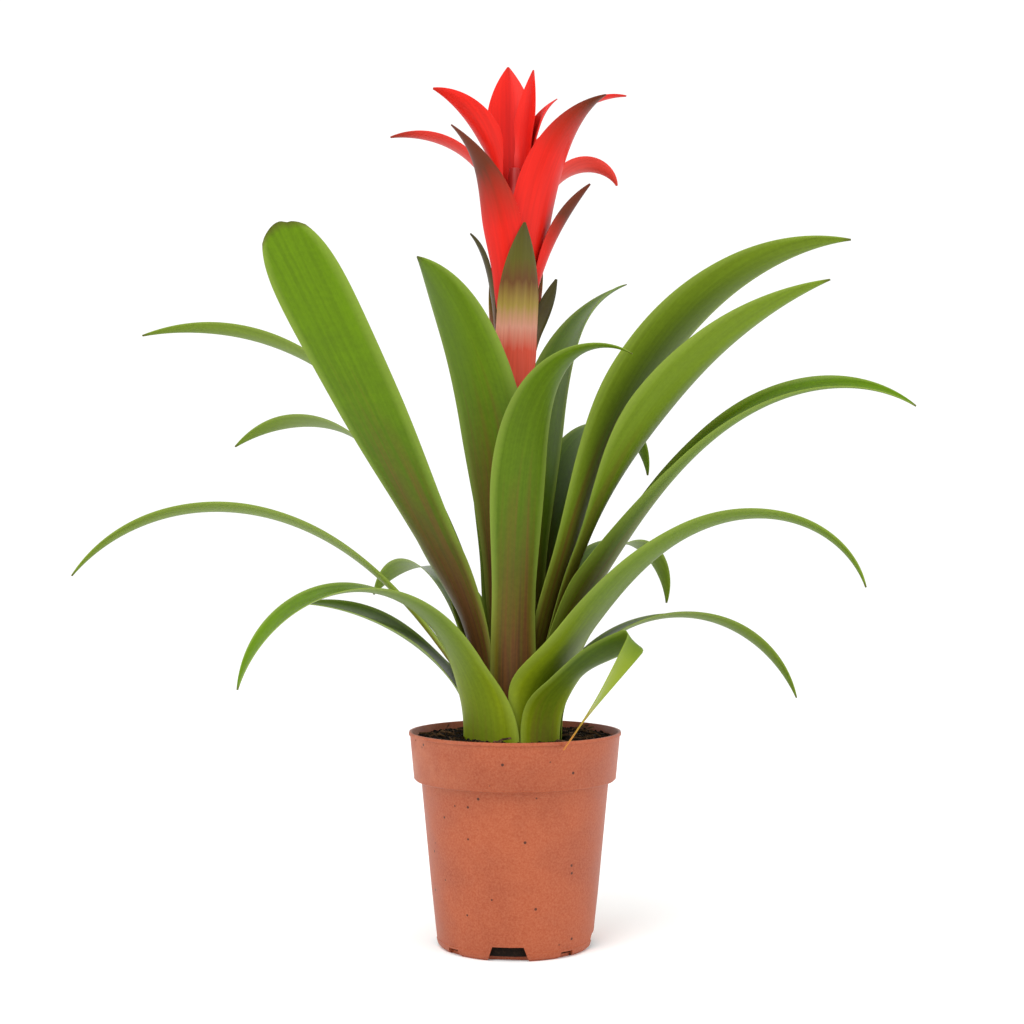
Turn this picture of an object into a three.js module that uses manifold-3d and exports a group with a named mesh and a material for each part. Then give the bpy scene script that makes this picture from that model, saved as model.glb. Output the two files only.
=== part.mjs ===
// A guzmania in its nursery pot. Millimetres, +Z up, origin at the centre of the pot's underside.
// +X points right and +Y away from someone who looks at the front of the plant.
import * as THREE from 'three';
import { mergeVertices } from 'three/addons/utils/BufferGeometryUtils.js';
import Module from 'manifold-3d';

const wasm = await Module();
wasm.setup();

// Driving dimensions of the pot
const RIM_RADIUS = 60;
const POT_HEIGHT = 120;
const COLLAR_HEIGHT = 27;
const COLLAR_FOOT_RADIUS = 57;
const BODY_TOP_RADIUS = 53;
const FOOT_RADIUS = 44;
const FOOT_EDGE = 2;
const WALL = 1.8;
const LIP_HEIGHT = 2;
const LIP_STEP = 0.7;
const POT_SIDES = 64;

// Notches round the foot: large and small ones take turns, 45 degrees apart
const NOTCH_PAIRS = 4;
const NOTCH_HEADING = 265;
const LARGE_NOTCH = { bottom: 23, top: 17, height: 8, depth: 6 };
const SMALL_NOTCH = { bottom: 10, top: 8, height: 3.5, depth: 3 };
const NOTCH_OVERRUN = 6;

// Soil and the round hole that the plant stands in
const CLEARANCE = 0.3;
const SOIL_TOP = 116;
const SOIL_HOLE_DEPTH = 15;
const SOIL_RELIEF = 0.8;
const SOIL_CLOD = 8;
const SOIL_RINGS = 4;
const SOIL_SIDES = 40;

// Flower stem
const STEM_RADIUS = 6;
const STEM_TIP_RADIUS = 4;
const STEM_TOP = 438;
const STEM_TAPER_LENGTH = 60;
const STEM_SIDES = 16;

// Leaves nest like the layers of an onion, a few to each layer round the stem
const BLADE_THICKNESS = 0.7;
const OUTER_LAYER = 29;
const LAYER_PITCH = 2.7;
const LEAF_ROWS = 16;
const FOLDED_LEAF_ROWS = 40;
const LEAF_COLUMNS = 4;
const LEAF_STRAIGHT = 12;
const LEAF_RELEASE = 45;
const CREASE_RADIUS = 2.5;

// Bracts clasp the flower stem, one above another
const BRACT_THICKNESS = 0.7;
const BRACT_LEAN = 79;
const BRACT_STRAIGHT = 4;
const BRACT_RELEASE = 25;
const BRACT_ROWS = 10;
const BRACT_COLUMNS = 4;

// Any blade, leaf or bract. Shares are of the part beyond the sheath, except for the sheath's own.
const RIB_STEPS = 200;
const TIP_HALF_WIDTH = 1;
const NECK_SHARE = 0.45;
const TAPER_FROM = 0.3;
const TIGHT_SHARE_OF_SHEATH = 0.6;

const COLOURS = {
  pot: 0xc6684c,
  soil: 0x2b211a,
  stem: 0x7d9a3c,
  leaf: 0x5c8f2c,
  red: 0xd8281f,
  dark: 0x6b4a2a,
};

const degrees = THREE.MathUtils.degToRad;
const clamp = THREE.MathUtils.clamp;
const lerp = THREE.MathUtils.lerp;

// Every leaf, from the outermost layer inwards. Angles are in degrees, and a heading of 0 points right,
// 90 away, 180 left and 270 to the front.
// clasp: where round the plant the sheath sits. wrap: how far it reaches round to each side of that.
// sheath: the length over which the leaf opens from upright to its rise and turns to its heading.
// end: the blade's angle above level at its tip. bend: above 1 keeps the arch for the outer part.
// swing: how far the heading turns by the tip. roll: how far the blade turns over by the tip.
// cup: how steeply the edges turn up. point: how late the blade narrows, so that a high one is blunt.
// neck: the share of its width that the blade has as it leaves the sheath.
// tip: half the width of a blunt tip. fold: where along the blade it creases, how far the crease slants
// across the blade, and through what angle the rest folds back.
const LEAVES = [
  { name: 'leaf_low_front_left', layer: 0, clasp: 230, wrap: 45, sheath: 62, heading: 214, swing: -6,
    length: 230, width: 32, rise: 58, end: -76, bend: 1.15, cup: 24, roll: -10, point: 1.9 },
  { name: 'leaf_low_front_right', layer: 0, clasp: 302, wrap: 26, sheath: 55, heading: 330, swing: 0,
    length: 172, width: 17, rise: 43, end: -2, bend: 0.75, cup: 14, roll: -100, point: 1.6, neck: 1.7,
    fold: { at: 0.38, slant: -1, angle: 130 } },
  { name: 'leaf_low_back', layer: 0, clasp: 75, wrap: 45, sheath: 62, heading: 80, swing: 0,
    length: 225, width: 32, rise: 50, end: -60, bend: 1.1, cup: 24, roll: 0, point: 2 },
  { name: 'leaf_low_left', layer: 1, clasp: 166, wrap: 42, sheath: 62, heading: 177, swing: 0,
    length: 150, width: 30, rise: 43, end: 0, bend: 1.2, cup: 26, roll: -18, point: 2 },
  { name: 'leaf_low_right', layer: 1, clasp: 28, wrap: 29, sheath: 65, heading: 10, swing: 0,
    length: 217, width: 28, rise: 45, end: -68, bend: 1, cup: 22, roll: -12, point: 2 },
  { name: 'leaf_front_right', layer: 1, clasp: 305, wrap: 36, sheath: 68, heading: 336, swing: 22,
    length: 272, width: 34, rise: 53, end: -72, bend: 2, cup: 24, roll: -14, point: 1.8, neck: 1.65 },
  { name: 'leaf_long_left', layer: 2, clasp: 186, wrap: 32, sheath: 65, heading: 183, swing: 0,
    length: 314, width: 30, rise: 54, end: -52, bend: 1.5, cup: 20, roll: 18, point: 2 },
  { name: 'leaf_back_left', layer: 2, clasp: 121, wrap: 24, sheath: 70, heading: 128, swing: 0,
    length: 205, width: 30, rise: 60, end: -45, bend: 1.2, cup: 24, roll: 18, point: 2 },
  { name: 'leaf_back_right', layer: 2, clasp: 45, wrap: 36, sheath: 70, heading: 44, swing: 0,
    length: 216, width: 30, rise: 68, end: -95, bend: 1.7, cup: 24, roll: 0, point: 2 },
  { name: 'leaf_heart_front', layer: 2, clasp: 267, wrap: 34, sheath: 90, heading: 284, swing: 69,
    length: 271, width: 34, rise: 82, end: -30, bend: 3.3, cup: 25, roll: 0, point: 3.2, neck: 0.74 },
  { name: 'leaf_left_tall', layer: 3, clasp: 210, wrap: 26, sheath: 132, heading: 222, swing: -8,
    length: 322, width: 42, rise: 57, end: 60, bend: 1, cup: 16, roll: 45, point: 9, neck: 0.85, tip: 8 },
  { name: 'leaf_long_right', layer: 3, clasp: 350, wrap: 35, sheath: 105, heading: 345, swing: 10,
    length: 328, width: 34, rise: 57, end: -33, bend: 2.2, cup: 46, roll: 34, point: 2, neck: 1.6 },
  { name: 'leaf_back', layer: 3, clasp: 90, wrap: 34, sheath: 80, heading: 94, swing: 0,
    length: 290, width: 34, rise: 64, end: -40, bend: 1.3, cup: 24, roll: 0, point: 2 },
  { name: 'leaf_left_arch', layer: 3, clasp: 154, wrap: 22, sheath: 85, heading: 141, swing: 0,
    length: 340, width: 32, rise: 70.5, end: -26, bend: 1.25, cup: 22, roll: 28, point: 2, neck: 0.8 },
  { name: 'leaf_left_thin', layer: 4, clasp: 160, wrap: 42, sheath: 90, heading: 161, swing: 8,
    length: 380, width: 32, rise: 73.5, end: -12, bend: 1.4, cup: 22, roll: 30, point: 2 },
  { name: 'leaf_back_arch', layer: 4, clasp: 56, wrap: 38, sheath: 100, heading: 48, swing: 0,
    length: 278, width: 32, rise: 80, end: -85, bend: 2.2, cup: 24, roll: 0, point: 2 },
  { name: 'leaf_right_lower', layer: 4, clasp: 341, wrap: 33, sheath: 125, heading: 328, swing: 0,
    length: 331, width: 44, rise: 66, end: 14, bend: 1.3, cup: 28, roll: -15, point: 2.2, neck: 0.3 },
  { name: 'leaf_right_upper', layer: 5, clasp: 331, wrap: 38, sheath: 118, heading: 333, swing: 0,
    length: 366, width: 48, rise: 71.5, end: -5, bend: 1.9, cup: 20, roll: -28, point: 2, neck: 0.58 },
  { name: 'leaf_tall_back', layer: 5, clasp: 118, wrap: 48, sheath: 105, heading: 97, swing: 0,
    length: 240, width: 28, rise: 75, end: 38, bend: 1.6, cup: 24, roll: 0, point: 2.2, neck: 0.75 },
  { name: 'leaf_heart_left', layer: 6, clasp: 262, wrap: 60, sheath: 110, heading: 240, swing: -50,
    length: 290, width: 44, rise: 81, end: 52, bend: 1.6, cup: 20, roll: 15, point: 8, neck: 0.75 },
  { name: 'leaf_heart_back', layer: 6, clasp: 58, wrap: 60, sheath: 110, heading: 44, swing: -30,
    length: 298, width: 46, rise: 84, end: 24, bend: 3, cup: 26, roll: 0, point: 4, neck: 0.6 },
];

// Every bract, from the lowest to the highest. foot: the height where it clasps the stem.
const BRACTS = [
  { name: 'bract_low_front', foot: 298, clasp: 275, wrap: 70, sheath: 34, heading: 287, swing: 0,
    length: 106, width: 27, rise: 80, end: 80, bend: 1, cup: 48, roll: 0, point: 2.2, tone: 'dark' },
  { name: 'bract_low_back_left', foot: 306, clasp: 112, wrap: 60, sheath: 30, heading: 108, swing: 0,
    length: 96, width: 24, rise: 82, end: 62, bend: 1.4, cup: 40, roll: 0, point: 2, tone: 'dark' },
  { name: 'bract_low_right', foot: 313, clasp: 358, wrap: 60, sheath: 24, heading: 352, swing: 0,
    length: 64, width: 16, rise: 75, end: 72, bend: 1.2, cup: 42, roll: -60, point: 1.6, tone: 'dark' },
  { name: 'bract_low_left', foot: 320, clasp: 160, wrap: 50, sheath: 24, heading: 160, swing: 0,
    length: 86, width: 16, rise: 82, end: 50, bend: 3.4, cup: 42, roll: 40, point: 1.8, tone: 'dark' },
  { name: 'bract_low_back_right', foot: 328, clasp: 62, wrap: 60, sheath: 30, heading: 74, swing: 0,
    length: 80, width: 24, rise: 81, end: 52, bend: 1.4, cup: 40, roll: 0, point: 2, tone: 'dark' },
  { name: 'bract_left_front', foot: 336, clasp: 254, wrap: 65, sheath: 34, heading: 242, swing: -62,
    length: 128, width: 28, rise: 77, end: 46, bend: 1.6, cup: 34, roll: 10, point: 1.8, neck: 0.72,
    tone: 'red' },
  { name: 'bract_right_narrow', foot: 344, clasp: 348, wrap: 50, sheath: 30, heading: 348, swing: 0,
    length: 92, width: 14, rise: 74, end: 44, bend: 1.4, cup: 34, roll: -35, point: 2, tone: 'red' },
  { name: 'bract_right_front', foot: 352, clasp: 310, wrap: 65, sheath: 34, heading: 315, swing: 8,
    length: 137, width: 35, rise: 79, end: 14, bend: 1.9, cup: 34, roll: 0, point: 2, tone: 'red' },
  { name: 'bract_back_left', foot: 368, clasp: 112, wrap: 48, sheath: 30, heading: 118, swing: 0,
    length: 84, width: 20, rise: 74, end: 30, bend: 1.6, cup: 32, roll: 0, point: 1.8, tone: 'red' },
  { name: 'bract_right_arch', foot: 376, clasp: 16, wrap: 55, sheath: 30, heading: 10, swing: 0,
    length: 100, width: 22, rise: 74, end: -70, bend: 2, cup: 30, roll: -38, point: 1.8, tone: 'red' },
  { name: 'bract_back_right', foot: 384, clasp: 65, wrap: 60, sheath: 30, heading: 58, swing: 0,
    length: 104, width: 24, rise: 74, end: 30, bend: 1.6, cup: 32, roll: 0, point: 1.8, tone: 'red' },
  { name: 'bract_left_spread', foot: 385, clasp: 175, wrap: 45, sheath: 30, heading: 172, swing: 0,
    length: 112, width: 22, rise: 82, end: -8, bend: 0.95, cup: 30, roll: 18, point: 1.6, tone: 'red' },
  { name: 'bract_top_front', foot: 385, clasp: 278, wrap: 40, sheath: 26, heading: 275, swing: 0,
    length: 28, width: 20, rise: 80, end: 62, bend: 1.4, cup: 36, roll: 0, point: 1.8, tone: 'red' },
  { name: 'bract_upper_left', foot: 398, clasp: 205, wrap: 42, sheath: 30, heading: 196, swing: 0,
    length: 98, width: 26, rise: 84, end: 12, bend: 1.4, cup: 30, roll: 40, point: 1.5, neck: 0.5,
    tone: 'red' },
  { name: 'bract_upper_right', foot: 398, clasp: 25, wrap: 55, sheath: 28, heading: 22, swing: 0,
    length: 118, width: 20, rise: 76, end: 5, bend: 1.4, cup: 30, roll: -15, point: 1.6, tone: 'red' },
  { name: 'bract_top_left', foot: 402, clasp: 126, wrap: 26, sheath: 20, heading: 138, swing: 0,
    length: 62, width: 14, rise: 77, end: -60, bend: 3, cup: 34, roll: 0, point: 1.8, tone: 'red' },
  { name: 'bract_top_back', foot: 412, clasp: 104, wrap: 50, sheath: 26, heading: 98, swing: 0,
    length: 91, width: 30, rise: 81, end: 78, bend: 1.4, cup: 28, roll: 0, point: 2.2, neck: 0.72,
    tone: 'red' },
  { name: 'bract_top_right', foot: 419, clasp: 22, wrap: 42, sheath: 26, heading: 25, swing: 0,
    length: 66, width: 20, rise: 83, end: 40, bend: 1.4, cup: 34, roll: 0, point: 1.8, neck: 0.6,
    tone: 'red' },
  { name: 'bract_top_narrow', foot: 426, clasp: 50, wrap: 45, sheath: 22, heading: 36, swing: 0,
    length: 71, width: 22, rise: 83, end: 84, bend: 1.4, cup: 34, roll: 0, point: 1.8, neck: 0.65,
    tone: 'red' },
];

// A curve from 0 to 1 with level ends
function ease(value, from, to) {
  const part = clamp((value - from) / (to - from), 0, 1);
  return part * part * (3 - 2 * part);
}

// Steps along a midrib: it starts along its sheath, opens to its rise and arches over to its end angle.
function midrib(blade, start) {
  const step = blade.length / RIB_STEPS;
  const points = [];
  const place = start.place.clone();
  for (let k = 0; k <= RIB_STEPS; k += 1) {
    const distance = (k + 0.5) * step;
    const opening = ease(distance, start.straight, blade.sheath);
    const along = clamp((distance - blade.sheath) / (blade.length - blade.sheath), 0, 1);
    const arch = (blade.end - blade.rise) * along ** blade.bend;
    const angle = lerp(start.lean, blade.rise, opening) + arch;
    const heading = lerp(blade.clasp, blade.heading, opening) + blade.swing * along * along;
    const side = new THREE.Vector3(-Math.sin(degrees(heading)), Math.cos(degrees(heading)), 0);
    const forward = new THREE.Vector3(
      Math.cos(degrees(angle)) * Math.cos(degrees(heading)),
      Math.cos(degrees(angle)) * Math.sin(degrees(heading)),
      Math.sin(degrees(angle)));
    side.addScaledVector(forward, -side.dot(forward)).normalize();
    side.applyAxisAngle(forward, degrees(blade.roll * along));
    points.push({ place: place.clone(), forward, side, distance: k * step });
    place.addScaledVector(forward, step);
  }
  return points;
}

// Half the blade's width, from the wide sheath through the neck to the tip
function halfWidth(blade, distance, start) {
  const opening = ease(distance, start.straight, blade.sheath);
  const along = clamp((distance - blade.sheath) / (blade.length - blade.sheath), 0, 1);
  const clasping = degrees(blade.wrap) * Math.hypot(start.place.x, start.place.y);
  const full = blade.width / 2 * lerp(blade.neck ?? 1, 1, ease(along, 0, NECK_SHARE));
  const taper = clamp((along - TAPER_FROM) / (1 - TAPER_FROM), 0, 1) ** blade.point;
  return lerp(lerp(clasping, full, opening), blade.tip ?? TIP_HALF_WIDTH, taper);
}

// Where a creased leaf folds: a line slanting across it, the way onward and the face that it folds to
function creaseOf(blade, rib) {
  const creaseAt = lerp(blade.sheath, blade.length, blade.fold.at);
  const { place, forward, side } = rib[Math.round(creaseAt / blade.length * (rib.length - 1))];
  const face = new THREE.Vector3().crossVectors(side, forward);
  const slant = degrees(-blade.fold.slant);
  const line = side.clone().applyAxisAngle(face, slant);
  const onward = forward.clone().applyAxisAngle(face, slant);
  return { place, line, onward, face, angle: degrees(blade.fold.angle) };
}

// Bends what lies beyond the crease round a tight curve and back over the blade
function foldOver(point, crease) {
  const offset = point.clone().sub(crease.place);
  const beyond = offset.dot(crease.onward);
  if (beyond <= 0) return point;
  const turn = Math.min(beyond / CREASE_RADIUS, crease.angle);
  const rest = beyond - CREASE_RADIUS * turn;
  const radius = CREASE_RADIUS - offset.dot(crease.face);
  return crease.place.clone()
    .addScaledVector(crease.line, offset.dot(crease.line))
    .addScaledVector(crease.onward, radius * Math.sin(turn) + rest * Math.cos(turn))
    .addScaledVector(crease.face, CREASE_RADIUS - radius * Math.cos(turn) + rest * Math.sin(turn));
}

// Rows of points across a blade. Near its foot it follows the layer round the axis, further out its own cup.
function bladeRows(blade, start, rows, columns) {
  const rib = midrib(blade, start);
  const crease = blade.fold && creaseOf(blade, rib);
  const upright = new THREE.Vector3(0, 0, 1);
  const cup = degrees(blade.cup);
  const tight = blade.sheath * TIGHT_SHARE_OF_SHEATH;
  const grid = [];
  for (let i = 0; i <= rows; i += 1) {
    const { place, forward, side, distance } = rib[Math.round(i / rows * (rib.length - 1))];
    const inward = new THREE.Vector3().crossVectors(forward, side);
    const half = halfWidth(blade, distance, start);
    const clasping = 1 - ease(distance, tight, tight + start.release);
    const radius = Math.hypot(place.x, place.y);
    const row = [];
    for (let j = 0; j <= columns; j += 1) {
      const across = j / columns * 2 - 1;
      const layered = place.clone().applyAxisAngle(upright, across * half / radius);
      const cupped = place.clone()
        .addScaledVector(side, half / cup * Math.sin(across * cup))
        .addScaledVector(inward, half / cup * (1 - Math.cos(across * cup)));
      const point = cupped.lerp(layered, clasping);
      row.push(crease ? foldOver(point, crease) : point);
    }
    grid.push(row);
  }
  return grid;
}

// A closed sheet of even thickness round a grid of points, with both faces split into the same triangles
function sheet(grid, thickness) {
  const rows = grid.length - 1;
  const columns = grid[0].length - 1;
  const faces = [[], []];
  for (let i = 0; i <= rows; i += 1) {
    for (let j = 0; j <= columns; j += 1) {
      const along = grid[Math.min(i + 1, rows)][j].clone().sub(grid[Math.max(i - 1, 0)][j]);
      const across = grid[i][Math.min(j + 1, columns)].clone().sub(grid[i][Math.max(j - 1, 0)]);
      const normal = along.cross(across).normalize().multiplyScalar(thickness / 2);
      faces[0].push(grid[i][j].clone().add(normal));
      faces[1].push(grid[i][j].clone().sub(normal));
    }
  }
  const top = (i, j) => i * (columns + 1) + j;
  const under = (i, j) => top(i, j) + (rows + 1) * (columns + 1);
  const triangles = [];
  const quad = (a, b, c, d) => triangles.push(a, b, c, a, c, d);
  for (let i = 0; i < rows; i += 1) {
    for (let j = 0; j < columns; j += 1) {
      quad(top(i, j), top(i + 1, j), top(i + 1, j + 1), top(i, j + 1));
      triangles.push(under(i, j), under(i + 1, j + 1), under(i + 1, j));
      triangles.push(under(i, j), under(i, j + 1), under(i + 1, j + 1));
    }
    quad(under(i, 0), under(i + 1, 0), top(i + 1, 0), top(i, 0));
    quad(top(i, columns), top(i + 1, columns), under(i + 1, columns), under(i, columns));
  }
  for (let j = 0; j < columns; j += 1) {
    quad(top(0, j), top(0, j + 1), under(0, j + 1), under(0, j));
    quad(under(rows, j), under(rows, j + 1), top(rows, j + 1), top(rows, j));
  }
  const geometry = new THREE.BufferGeometry();
  const corners = faces.flat().flatMap((corner) => corner.toArray());
  geometry.setAttribute('position', new THREE.Float32BufferAttribute(corners, 3));
  geometry.setIndex(triangles);
  return geometry;
}

// A closed profile of radius and height, turned about the vertical axis
function turned(profile, sides) {
  const points = profile.map(([radius, height]) => new THREE.Vector2(radius, height));
  const lathe = new THREE.LatheGeometry(points, sides);
  lathe.rotateX(Math.PI / 2);
  return bare(lathe);
}

// Only merged positions, as a solid needs
function bare(geometry) {
  geometry.deleteAttribute('normal');
  geometry.deleteAttribute('uv');
  return mergeVertices(geometry, 1e-4);
}

function toSolid(geometry) {
  return new wasm.Manifold(new wasm.Mesh({
    numProp: 3,
    vertProperties: new Float32Array(geometry.attributes.position.array),
    triVerts: new Uint32Array(geometry.index.array),
  }));
}

function toGeometry(solid) {
  const { vertProperties, triVerts } = solid.getMesh();
  const geometry = new THREE.BufferGeometry();
  geometry.setAttribute('position', new THREE.Float32BufferAttribute(vertProperties, 3));
  geometry.setIndex(new THREE.Uint32BufferAttribute(triVerts, 1));
  return geometry;
}

// The radius of the pot's tapered body at a height
function bodyRadius(height) {
  return lerp(FOOT_RADIUS, BODY_TOP_RADIUS, height / (POT_HEIGHT - COLLAR_HEIGHT));
}

// A wedge that cuts one notch into the foot, wider at the floor than at its top
function notchCutter(notch, heading) {
  const outline = new THREE.Shape([
    new THREE.Vector2(-notch.bottom / 2, -1),
    new THREE.Vector2(notch.bottom / 2, -1),
    new THREE.Vector2(notch.bottom / 2, 0),
    new THREE.Vector2(notch.top / 2, notch.height),
    new THREE.Vector2(-notch.top / 2, notch.height),
    new THREE.Vector2(-notch.bottom / 2, 0),
  ]);
  const reach = notch.depth + NOTCH_OVERRUN;
  const cutter = new THREE.ExtrudeGeometry(outline, { depth: reach, bevelEnabled: false });
  cutter.rotateX(Math.PI / 2);
  cutter.translate(0, -(FOOT_RADIUS - notch.depth), 0);
  cutter.rotateZ(degrees(heading - 270));
  return toSolid(bare(cutter));
}

// The pot's shell: floor, tapered body, ledge, collar and lip, with notches round its foot
function potGeometry() {
  const ledge = POT_HEIGHT - COLLAR_HEIGHT;
  const inner = RIM_RADIUS - WALL;
  const profile = [
    [0, 0],
    [FOOT_RADIUS - FOOT_EDGE, 0],
    [FOOT_RADIUS, FOOT_EDGE],
    [bodyRadius(ledge), ledge],
    [COLLAR_FOOT_RADIUS, ledge],
    [RIM_RADIUS - LIP_STEP, POT_HEIGHT - LIP_HEIGHT],
    [RIM_RADIUS, POT_HEIGHT - LIP_HEIGHT],
    [RIM_RADIUS, POT_HEIGHT],
    [inner, POT_HEIGHT],
    [COLLAR_FOOT_RADIUS - WALL, ledge + WALL],
    [bodyRadius(ledge) - WALL, ledge + WALL],
    [FOOT_RADIUS - WALL, WALL],
    [0, WALL],
  ];
  let pot = toSolid(turned(profile, POT_SIDES));
  for (let pair = 0; pair < NOTCH_PAIRS; pair += 1) {
    const heading = NOTCH_HEADING + pair * 360 / NOTCH_PAIRS;
    pot = pot.subtract(notchCutter(LARGE_NOTCH, heading));
    pot = pot.subtract(notchCutter(SMALL_NOTCH, heading + 180 / NOTCH_PAIRS));
  }
  return toGeometry(pot);
}

// Soil fills the pot just clear of its wall, with low clods on top and a flat edge round the plant's hole
function soilGeometry(holeRadius) {
  const gap = WALL + CLEARANCE;
  const ledge = POT_HEIGHT - COLLAR_HEIGHT;
  const holeFloor = SOIL_TOP - SOIL_HOLE_DEPTH;
  const topRadius = lerp(COLLAR_FOOT_RADIUS, RIM_RADIUS, (SOIL_TOP - ledge) / COLLAR_HEIGHT) - gap - LIP_STEP;
  const profile = [
    [0, gap],
    [FOOT_RADIUS - gap, gap],
    [bodyRadius(ledge) - gap, ledge],
    [bodyRadius(ledge) - gap, ledge + gap],
    [COLLAR_FOOT_RADIUS - gap - LIP_STEP, ledge + gap],
    [topRadius, SOIL_TOP],
  ];
  for (let ring = 1; ring <= SOIL_RINGS; ring += 1) {
    profile.push([lerp(topRadius, holeRadius, ring / SOIL_RINGS), SOIL_TOP]);
  }
  profile.push([holeRadius, holeFloor], [0, holeFloor]);
  const soil = turned(profile, SOIL_SIDES);
  const corner = soil.attributes.position;
  for (let k = 0; k < corner.count; k += 1) {
    const radius = Math.hypot(corner.getX(k), corner.getY(k));
    const onTop = Math.abs(corner.getZ(k) - SOIL_TOP) < 0.01;
    if (onTop && radius > holeRadius + 1 && radius < topRadius - 1) {
      const turn = 2 * Math.PI / SOIL_CLOD;
      const clods = Math.sin(turn * corner.getX(k)) * Math.cos(turn * corner.getY(k));
      corner.setZ(k, SOIL_TOP + SOIL_RELIEF * clods);
    }
  }
  return soil;
}

// The flower stalk, straight and then tapering to its tip
function stemGeometry(foot) {
  const profile = [
    [0, foot],
    [STEM_RADIUS, foot],
    [STEM_RADIUS, STEM_TOP - STEM_TAPER_LENGTH],
    [STEM_TIP_RADIUS, STEM_TOP],
    [0, STEM_TOP],
  ];
  return turned(profile, STEM_SIDES);
}

const layerRadius = (layer) => OUTER_LAYER - LAYER_PITCH * layer;
const footOfPlant = SOIL_TOP - SOIL_HOLE_DEPTH + CLEARANCE;

// Where a blade starts: a point out from the axis in the direction of its clasp
function startOf(blade, radius, height) {
  const clasp = degrees(blade.clasp);
  return new THREE.Vector3(radius * Math.cos(clasp), radius * Math.sin(clasp), height);
}

function leafGeometry(leaf) {
  const start = {
    place: startOf(leaf, layerRadius(leaf.layer), footOfPlant),
    lean: 90,
    straight: LEAF_STRAIGHT,
    release: LEAF_RELEASE,
  };
  const rows = leaf.fold ? FOLDED_LEAF_ROWS : LEAF_ROWS;
  return sheet(bladeRows(leaf, start, rows, LEAF_COLUMNS), BLADE_THICKNESS);
}

// The flower stem tapers towards its top, and each bract sits against it there
function stemRadius(height) {
  const taper = clamp((height - STEM_TOP + STEM_TAPER_LENGTH) / STEM_TAPER_LENGTH, 0, 1);
  return lerp(STEM_RADIUS, STEM_TIP_RADIUS, taper);
}

function bractGeometry(bract) {
  const start = {
    place: startOf(bract, stemRadius(bract.foot) + CLEARANCE + BRACT_THICKNESS, bract.foot),
    lean: BRACT_LEAN,
    straight: BRACT_STRAIGHT,
    release: BRACT_RELEASE,
  };
  return sheet(bladeRows(bract, start, BRACT_ROWS, BRACT_COLUMNS), BRACT_THICKNESS);
}

// A named mesh with flat faces and one plain material
function piece(name, geometry, color, roughness) {
  const solid = geometry.toNonIndexed();
  solid.computeVertexNormals();
  const mesh = new THREE.Mesh(solid, new THREE.MeshStandardMaterial({ color, roughness, metalness: 0 }));
  mesh.name = name;
  return mesh;
}

const plant = new THREE.Group();
plant.add(piece('pot', potGeometry(), COLOURS.pot, 0.55));
plant.add(piece('soil', soilGeometry(layerRadius(0) + BLADE_THICKNESS / 2 + CLEARANCE), COLOURS.soil, 0.95));
plant.add(piece('flower_stem', stemGeometry(footOfPlant), COLOURS.stem, 0.5));
LEAVES.forEach((leaf) => {
  plant.add(piece(leaf.name, leafGeometry(leaf), COLOURS.leaf, 0.45));
});
BRACTS.forEach((bract) => {
  plant.add(piece(bract.name, bractGeometry(bract), COLOURS[bract.tone], 0.4));
});

export default plant;
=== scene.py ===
# %% [markdown]
# A guzmania in its nursery pot.
#
# A guzmania is a bromeliad. Its strap leaves stand one inside another and make a rosette, and a single
# stalk carries a head of pointed red bracts out of the middle. The plant grows in peat in a terracotta
# coloured plastic pot.
#
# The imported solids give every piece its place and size. This script makes the finer pieces that are
# seen, and each one stands exactly where its solid does.

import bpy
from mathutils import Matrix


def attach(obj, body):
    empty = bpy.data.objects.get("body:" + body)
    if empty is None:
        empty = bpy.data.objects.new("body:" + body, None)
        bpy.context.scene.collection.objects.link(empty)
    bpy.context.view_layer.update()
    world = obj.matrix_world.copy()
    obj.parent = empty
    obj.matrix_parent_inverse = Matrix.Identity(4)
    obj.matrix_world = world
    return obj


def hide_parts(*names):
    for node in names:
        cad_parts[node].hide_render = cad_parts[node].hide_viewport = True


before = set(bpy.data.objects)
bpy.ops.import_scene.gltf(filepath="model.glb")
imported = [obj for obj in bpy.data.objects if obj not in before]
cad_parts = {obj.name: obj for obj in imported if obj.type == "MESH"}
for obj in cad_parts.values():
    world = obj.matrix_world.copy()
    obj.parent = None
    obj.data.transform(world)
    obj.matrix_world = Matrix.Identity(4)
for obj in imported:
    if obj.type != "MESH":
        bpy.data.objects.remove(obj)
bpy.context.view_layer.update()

# %% Tools and units
import math
import random

import bpy
from mathutils import Matrix, Vector

MM = 0.001          # sizes below are in millimetres, and Blender works in metres
BODY = "root"       # the plant has no joints, so all of it rides on one body
chance = random.Random(24)

# %% [markdown]
# Operators act on whatever is selected. The loaded solids come in selected, so each piece is started
# with nothing selected, and each operator gets only the piece that it should change.

# %% Select one piece, apply a modifier, hand a piece over
def pick_nothing():
    bpy.ops.object.select_all(action="DESELECT")


def pick_only(piece):
    pick_nothing()
    piece.select_set(True)
    bpy.context.view_layer.objects.active = piece


def switch(mode):
    bpy.ops.object.mode_set(mode=mode)


def apply_modifier(piece, kind, **settings):
    pick_only(piece)
    bpy.ops.object.modifier_add(type=kind)
    modifier = piece.modifiers[-1]
    for setting, value in settings.items():
        setattr(modifier, setting, value)
    bpy.ops.object.modifier_apply(modifier=modifier.name)


def settle_mesh():
    """Puts the active piece's place, turn and size into its mesh."""
    bpy.ops.object.transform_apply(location=True, rotation=True, scale=True)


def smooth(piece, sharpest):
    """Shades a piece smooth, and keeps edges that turn by more than this many degrees."""
    pick_only(piece)
    bpy.ops.object.shade_smooth_by_angle(angle=math.radians(sharpest))


def hand_over(piece, finish, slot, *solids):
    """Gives a finished piece its material and hides the solids that it stands for. The slot is not used.
    """
    piece.data.materials.clear()
    piece.data.materials.append(finish)
    if solids:
        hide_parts(*solids)
    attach(piece, BODY)


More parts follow.
